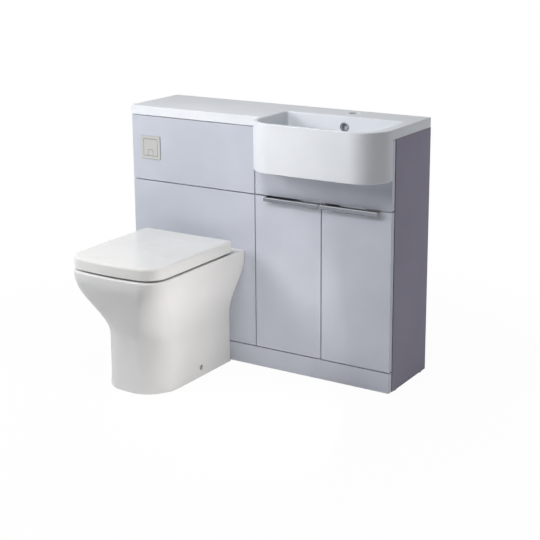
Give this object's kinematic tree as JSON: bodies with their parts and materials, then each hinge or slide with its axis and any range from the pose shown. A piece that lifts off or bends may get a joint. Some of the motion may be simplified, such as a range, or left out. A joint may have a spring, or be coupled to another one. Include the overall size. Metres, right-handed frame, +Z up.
{
  "type": "toilet and basin combination unit",
  "caption": "Wall-side bathroom unit: cistern cabinet with a back-to-wall pan, and a two-door basin cabinet, under one worktop cast with a deep projecting basin.",
  "frame": {"origin": "on the floor, under the middle of the whole unit's bounding box", "axes": "+X to the right along the wall, -Y towards the user, +Z up; the wall plane is the row's +Y face"},
  "size_m": [1, 0.752, 0.854],
  "materials": {
    "lacquered_front": "satin lacquer on board",
    "carcass_board": "matt melamine on board",
    "cast_basin": "gloss gel coat on cast mineral resin",
    "vitreous_china": "gloss glaze",
    "seat_plastic": "gloss moulded",
    "chrome": "polished",
    "satin_chrome": "satin",
    "zinc_steel": "zinc plated",
    "black_rubber": "moulded",
    "pale_rubber": "moulded",
    "dark_plastic": "moulded",
    "blue_plastic": "moulded",
    "red_plastic": "moulded",
    "white_plastic": "moulded"
  },
  "bodies": {
    "unit": {"wc_side_left": "carcass_board", "wc_side_right": "carcass_board", "wc_rails": "carcass_board", "upper_panel": "lacquered_front", "lower_panel": "lacquered_front", "vanity_side_left": "carcass_board", "vanity_side_right": "carcass_board", "vanity_rails": "carcass_board", "vanity_base": "carcass_board", "shelf": "carcass_board", "shelf_pegs": "zinc_steel", "fascia": "lacquered_front", "plinth": "lacquered_front", "front_pads": "white_plastic", "glides": "black_rubber", "joining_bolts": "zinc_steel", "wall_brackets": "zinc_steel", "basin_worktop": "cast_basin", "overflow_ring": "chrome", "waste_body": "chrome", "waste_nut": "dark_plastic", "trap_nut": "white_plastic", "bottle_trap": "white_plastic", "trap_cup": "white_plastic", "waste_pipe": "white_plastic", "hinge_arms_left": "zinc_steel", "hinge_arms_right": "zinc_steel", "flush_plate": "satin_chrome", "button_housing": "dark_plastic", "flush_hoses": "pale_rubber", "cistern_tank": "white_plastic", "cistern_lid": "white_plastic", "flush_valve": "blue_plastic", "fill_valve": "white_plastic", "tank_nut": "dark_plastic", "flush_pipe": "white_plastic", "flush_cone": "black_rubber", "pan_connector": "white_plastic", "pan": "vitreous_china", "pan_spigot": "vitreous_china", "pan_horn": "vitreous_china", "floor_fixings": "white_plastic", "side_caps": "chrome", "seat_posts": "chrome"},
    "door_left": {"door_left": "lacquered_front", "handle_left": "chrome", "hinge_cups_left": "zinc_steel"},
    "door_right": {"door_right": "lacquered_front", "handle_right": "chrome", "hinge_cups_right": "zinc_steel"},
    "full_button": {"full_button": "satin_chrome"},
    "half_button": {"half_button": "satin_chrome"},
    "waste_plug": {"waste_plug": "chrome"},
    "lid": {"lid": "seat_plastic"},
    "seat": {"seat_ring": "seat_plastic", "seat_buffers": "pale_rubber"},
    "flush_lifter": {"flush_lifter": "red_plastic"},
    "fill_float": {"fill_float": "white_plastic"}
  },
  "joints": [
    {"name": "door_left_hinge", "type": "hinge", "parent": "unit", "child": "door_left", "pos_m": [0.00175, 0.111, 0.334], "axis": [0, 0, -1], "range_deg": [0, 90]},
    {"name": "door_right_hinge", "type": "hinge", "parent": "unit", "child": "door_right", "pos_m": [0.49825, 0.111, 0.334], "axis": [0, 0, 1], "range_deg": [0, 105]},
    {"name": "lid_hinge", "type": "hinge", "parent": "unit", "child": "lid", "pos_m": [-0.23, 0.039, 0.422], "axis": [-1, 0, 0], "range_deg": [0, 95]},
    {"name": "seat_hinge", "type": "hinge", "parent": "unit", "child": "seat", "pos_m": [-0.23, 0.039, 0.422], "axis": [-1, 0, 0], "range_deg": [0, 93]},
    {"name": "full_flush_press", "type": "slide", "parent": "unit", "child": "full_button", "axis": [0, 1, 0], "range_m": [0, 0.005], "stiffness_N_per_m": 400},
    {"name": "half_flush_press", "type": "slide", "parent": "unit", "child": "half_button", "axis": [0, 1, 0], "range_m": [0, 0.005], "stiffness_N_per_m": 400},
    {"name": "plug_lift", "type": "slide", "parent": "unit", "child": "waste_plug", "axis": [0, 0, 1], "range_m": [0, 0.008]},
    {"name": "lifter_lift", "type": "slide", "parent": "unit", "child": "flush_lifter", "axis": [0, 0, 1], "range_m": [0, 0.012]},
    {"name": "float_rise", "type": "slide", "parent": "unit", "child": "fill_float", "axis": [0, 0, 1], "range_m": [0, 0.025]}
  ],
  "couplings": [
    {"joint": "seat_hinge", "follows": "lid_hinge", "ratio": 0.97}
  ]
}
